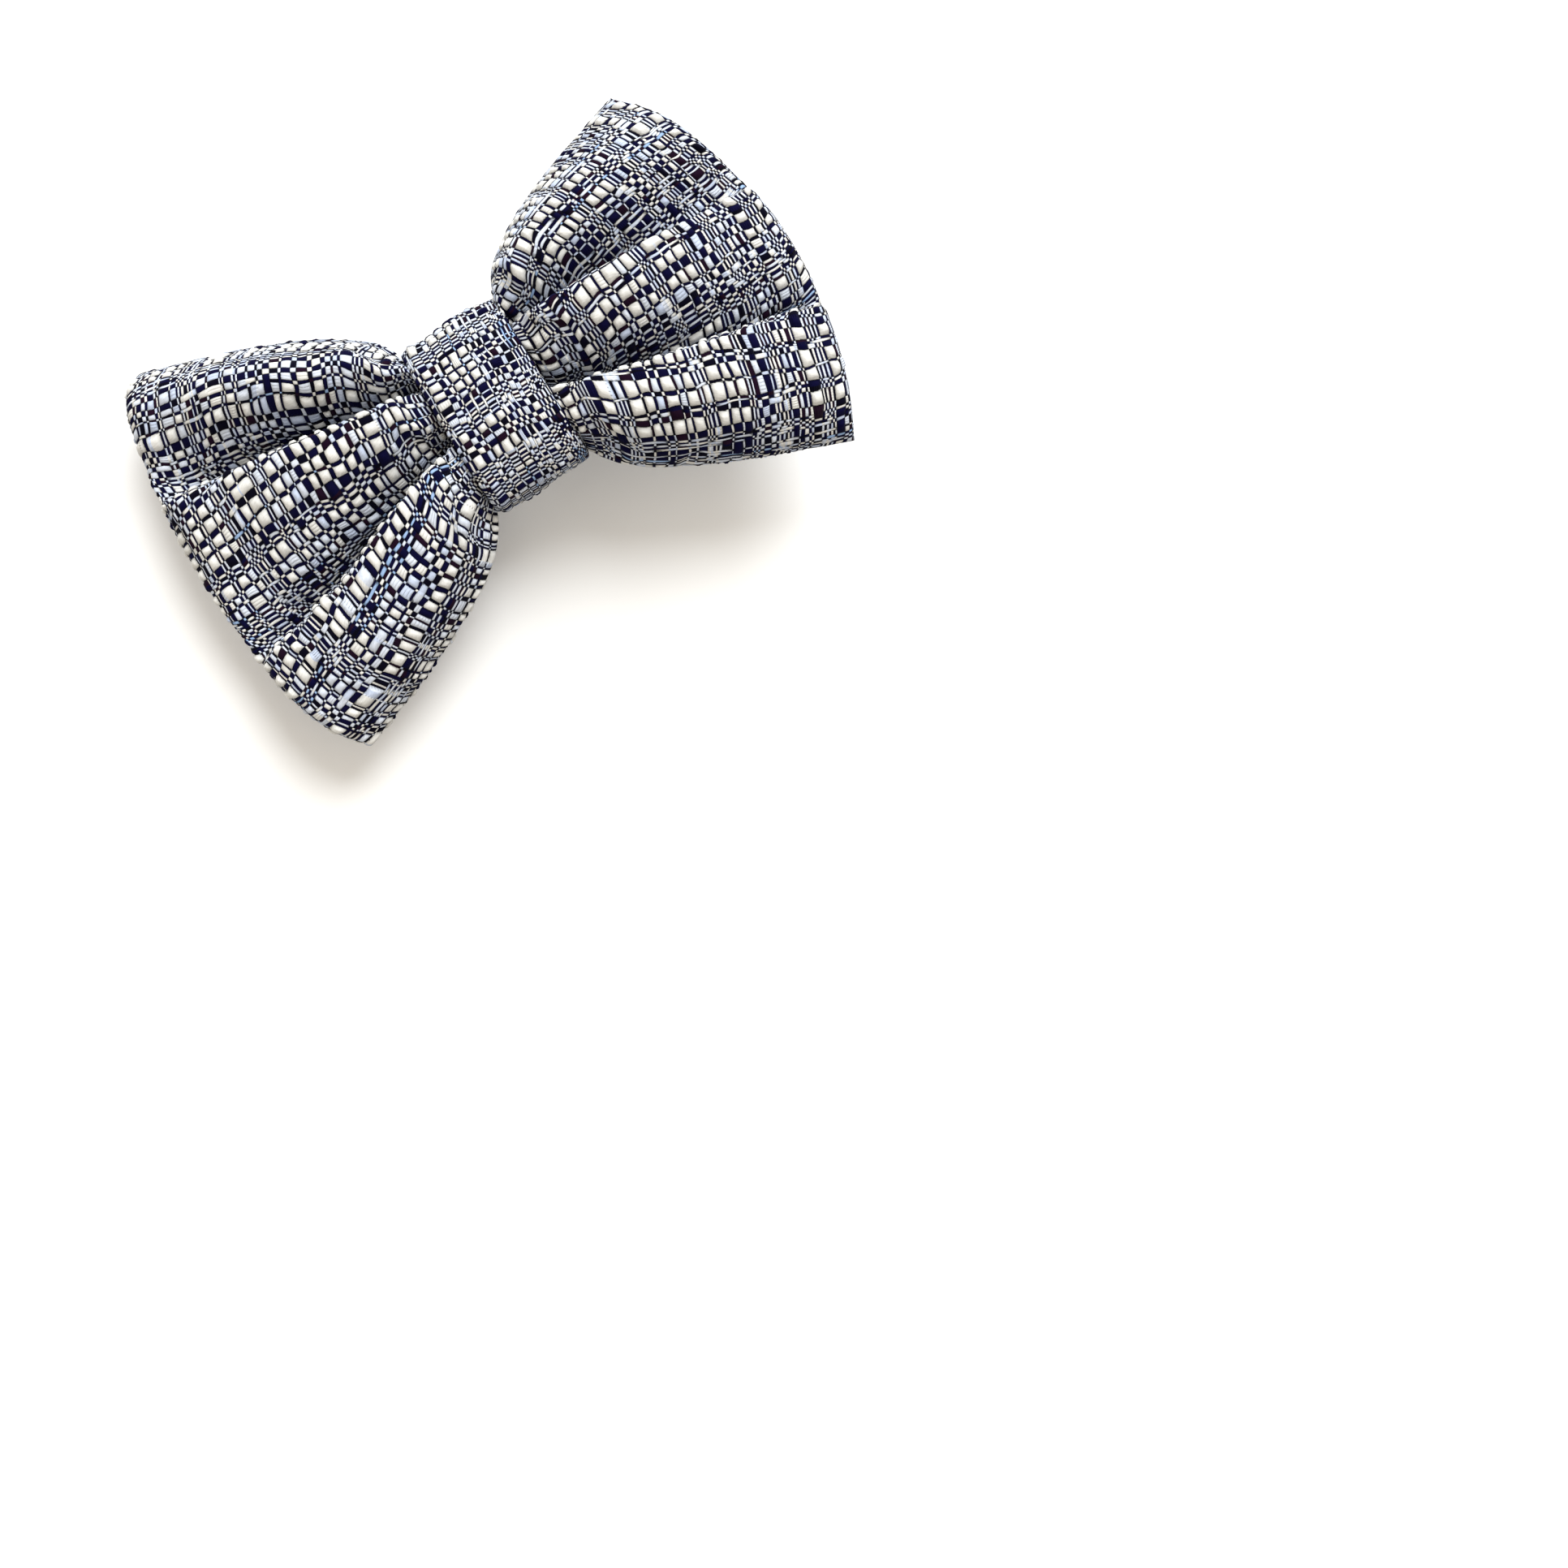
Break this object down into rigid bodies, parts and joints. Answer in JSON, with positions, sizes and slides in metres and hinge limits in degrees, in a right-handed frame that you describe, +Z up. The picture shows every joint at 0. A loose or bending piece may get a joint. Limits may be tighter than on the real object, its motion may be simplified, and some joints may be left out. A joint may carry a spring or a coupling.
{
  "type": "clip-on bow tie",
  "caption": "Tail-less clip-on bow tie in a chunky blue and white weave, with padded, pleated wings, a wrapped knot band and a sprung double-jawed collar clip behind.",
  "frame": {"origin": "middle of the shut clip's gap, where the wearer's collar is held, on the bow's mid-line", "axes": "+X along the bow, +Y towards the wearer, so -Y is the front, +Z up"},
  "size_m": [0.118, 0.027, 0.075],
  "materials": {
    "tweed": "plain weave of puffy cream, navy and light blue yarns",
    "wadding": "loose fibre",
    "lining": "dark woven interlining",
    "thread": "twisted sewing thread",
    "nickel": "nickel-plated spring steel"
  },
  "bodies": {
    "bow": {"left_front_panel": "tweed", "left_back_panel": "tweed", "right_front_panel": "tweed", "right_back_panel": "tweed", "knot_band": "tweed", "left_wadding": "wadding", "right_wadding": "wadding", "knot_lining": "lining", "waist_binding": "thread", "band_stitch_1": "thread", "band_stitch_2": "thread", "band_stitch_3": "thread", "band_stitch_4": "thread", "band_stitch_5": "thread", "clip_stitch_1": "thread", "clip_stitch_2": "thread", "clip_stitch_3": "thread", "clip_stitch_4": "thread", "clip_base": "nickel", "left_hinge_pin": "nickel", "right_hinge_pin": "nickel", "left_spring": "nickel", "right_spring": "nickel"},
    "left_jaw": {"left_jaw": "nickel"},
    "right_jaw": {"right_jaw": "nickel"}
  },
  "joints": [
    {"name": "left_jaw_hinge", "type": "hinge", "parent": "bow", "child": "left_jaw", "pos_m": [-0.0095, 0.0027, 0], "axis": [0, 0, -1], "range_deg": [0, 30], "stiffness_Nm_per_rad": 0.02, "springref_deg": -34.38, "deforming": ["left_spring"]},
    {"name": "right_jaw_hinge", "type": "hinge", "parent": "bow", "child": "right_jaw", "pos_m": [0.0095, 0.0027, 0], "axis": [0, 0, 1], "range_deg": [0, 30], "stiffness_Nm_per_rad": 0.02, "springref_deg": -34.38, "deforming": ["right_spring"]}
  ]
}
